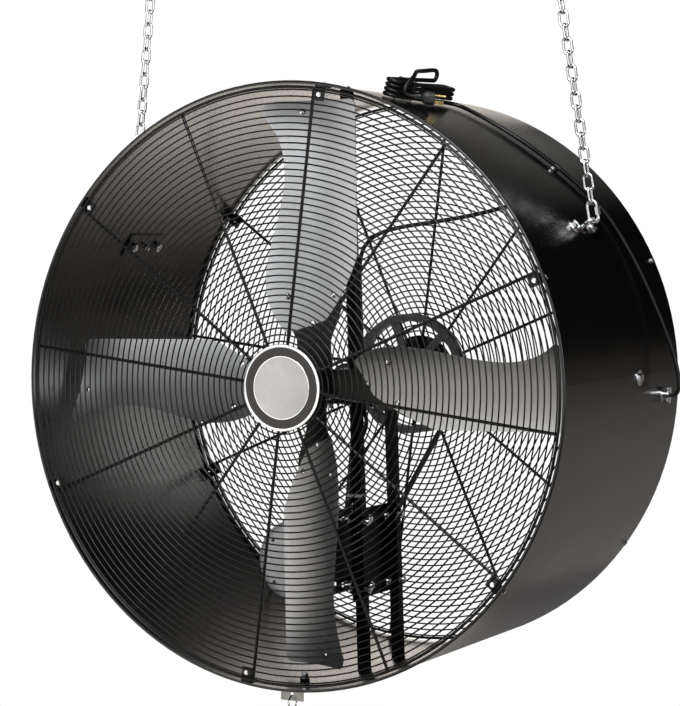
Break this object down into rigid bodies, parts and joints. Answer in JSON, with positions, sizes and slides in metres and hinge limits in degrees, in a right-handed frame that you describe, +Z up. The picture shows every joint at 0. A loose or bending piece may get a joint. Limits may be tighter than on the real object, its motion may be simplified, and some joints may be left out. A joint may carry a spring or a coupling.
{
  "type": "hanging drum fan",
  "caption": "Chain-hung drum fan: a rolled sheet drum with wire guards, a belt-driven bladed rotor and a motor on posts inside, and a supply cord tied in a hank on top.",
  "frame": {"origin": "middle of the four ceiling bolt holes, in the plane of the ceiling", "axes": "+X to the right seen from the front, +Y towards the rear, +Z up"},
  "size_m": [1.1388, 0.5737, 1.4343],
  "materials": {
    "black_paint": "satin black enamel",
    "guard_paint": "black coated wire",
    "badge_paint": "plain printed disc without words",
    "zinc": "bright zinc plate",
    "blade_sheet": "mill finish sheet",
    "cast_grey": "dark grey casting",
    "steel_shaft": "ground steel",
    "belt_rubber": "matte belt",
    "bell_aluminium": "die cast",
    "bell_black": "die cast, painted satin black",
    "cord_rubber": "matte jacket",
    "plug_plastic": "moulded",
    "prong_brass": "bright brass",
    "tie_plastic": "black strap",
    "pale_tie": "pale strap"
  },
  "bodies": {
    "hanger": {"ceiling_plates": "zinc", "right_chain": "zinc", "left_chain": "zinc", "quick_links": "zinc"},
    "drum": {"drum_shell": "black_paint", "front_guard": "guard_paint", "rear_guard": "guard_paint", "guard_clips": "black_paint", "front_badge": "badge_paint", "rear_centre_disc": "black_paint", "guard_back_plates": "black_paint", "drive_belt": "belt_rubber", "motor_shell": "black_paint", "motor_front_bell": "bell_aluminium", "motor_rear_bell": "bell_black", "motor_base": "black_paint", "motor_plate": "black_paint", "tension_studs": "zinc", "conduit_box": "black_paint", "front_lower_post": "black_paint", "rear_post": "black_paint", "front_upper_post": "black_paint", "bearing_shelf": "black_paint", "bearing_housings": "cast_grey", "bearing_inserts": "steel_shaft", "side_brace": "black_paint", "tube_end_blocks": "black_paint", "hanger_plates": "black_paint", "eye_bolts": "zinc", "eye_washers": "zinc", "strain_relief": "zinc", "cord_clip": "tie_plastic", "cord_run": "cord_rubber", "cord_hank": "cord_rubber", "cord_lead": "cord_rubber", "plug_body": "plug_plastic", "plug_prongs": "prong_brass", "hank_tie": "tie_plastic", "motor_lead": "cord_rubber", "post_tie": "pale_tie", "tether_bracket": "zinc", "tether_spacer": "black_paint", "small_bolts": "zinc", "middle_bolts": "zinc", "large_bolts": "zinc", "small_nuts": "zinc", "middle_nuts": "zinc", "large_nuts": "zinc"},
    "rotor": {"fan_shaft": "steel_shaft", "fan_hub": "black_paint", "fan_blade_1": "blade_sheet", "fan_blade_2": "blade_sheet", "fan_blade_3": "blade_sheet", "fan_blade_4": "blade_sheet", "blade_rivets": "zinc", "driven_sheave": "cast_grey"},
    "motor_rotor": {"motor_shaft": "steel_shaft", "motor_sheave": "cast_grey"},
    "tether_ring": {"tether_ring": "zinc"}
  },
  "joints": [
    {"name": "tilt", "type": "hinge", "parent": "hanger", "child": "drum", "pos_m": [0, 0, -0.55814], "axis": [1, 0, 0], "range_deg": [-30, 30]},
    {"name": "fan_spin", "type": "hinge", "parent": "drum", "child": "rotor", "pos_m": [0, 0, -0.83895], "axis": [0, 1, 0], "continuous": true},
    {"name": "motor_spin", "type": "hinge", "parent": "drum", "child": "motor_rotor", "pos_m": [-0.126, 0, -1.18795], "axis": [0, 1, 0], "continuous": true},
    {"name": "ring_swing", "type": "hinge", "parent": "drum", "child": "tether_ring", "pos_m": [-0.01654, -0.2515, -1.40436], "axis": [0, 1, 0], "range_deg": [-60, 60]}
  ],
  "couplings": [
    {"joint": "motor_spin", "follows": "fan_spin", "ratio": 3.2571}
  ]
}
